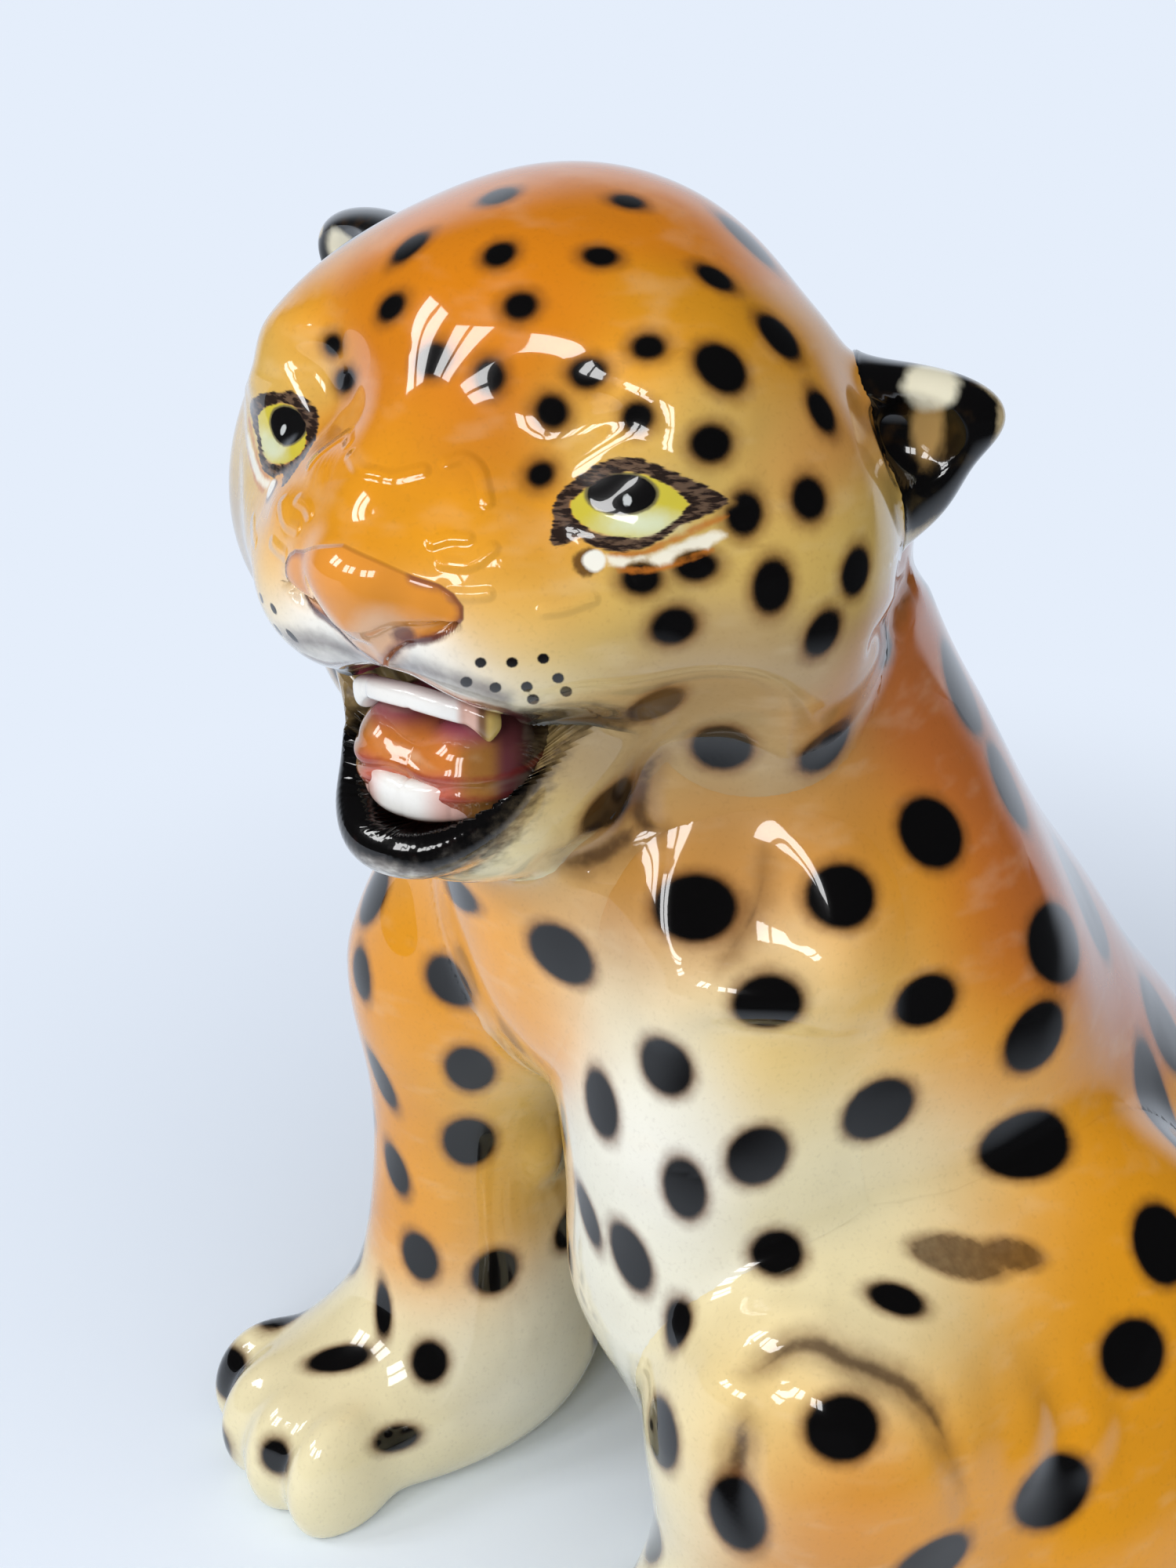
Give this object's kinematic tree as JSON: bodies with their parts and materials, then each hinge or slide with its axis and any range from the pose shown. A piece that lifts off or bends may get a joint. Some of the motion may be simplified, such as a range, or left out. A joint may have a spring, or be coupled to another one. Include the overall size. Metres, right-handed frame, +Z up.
{
  "type": "porcelain leopard figurine",
  "caption": "Sitting leopard cub ornament, slip-cast in separate hollow castings and glazed, with its head turned, mouth open and tail curled round its haunch.",
  "frame": {"origin": "middle of the flat seat under the rump, on the table", "axes": "+Z up, the body faces -Y, its left side is +X, the head is turned to its left"},
  "size_m": [0.1596, 0.1909, 0.2255],
  "materials": {
    "ochre_glaze": "gloss",
    "cream_glaze": "gloss",
    "black_glaze": "gloss",
    "coral_glaze": "gloss",
    "white_glaze": "gloss"
  },
  "bodies": {
    "root": {"body": "ochre_glaze", "head": "ochre_glaze", "lower_jaw": "cream_glaze", "tongue": "coral_glaze", "upper_teeth": "white_glaze", "lower_teeth": "white_glaze", "left_ear": "black_glaze", "right_ear": "black_glaze", "left_foreleg": "cream_glaze", "right_foreleg": "ochre_glaze", "left_hind_leg": "ochre_glaze", "right_hind_leg": "ochre_glaze", "tail": "ochre_glaze"}
  },
  "joints": []
}
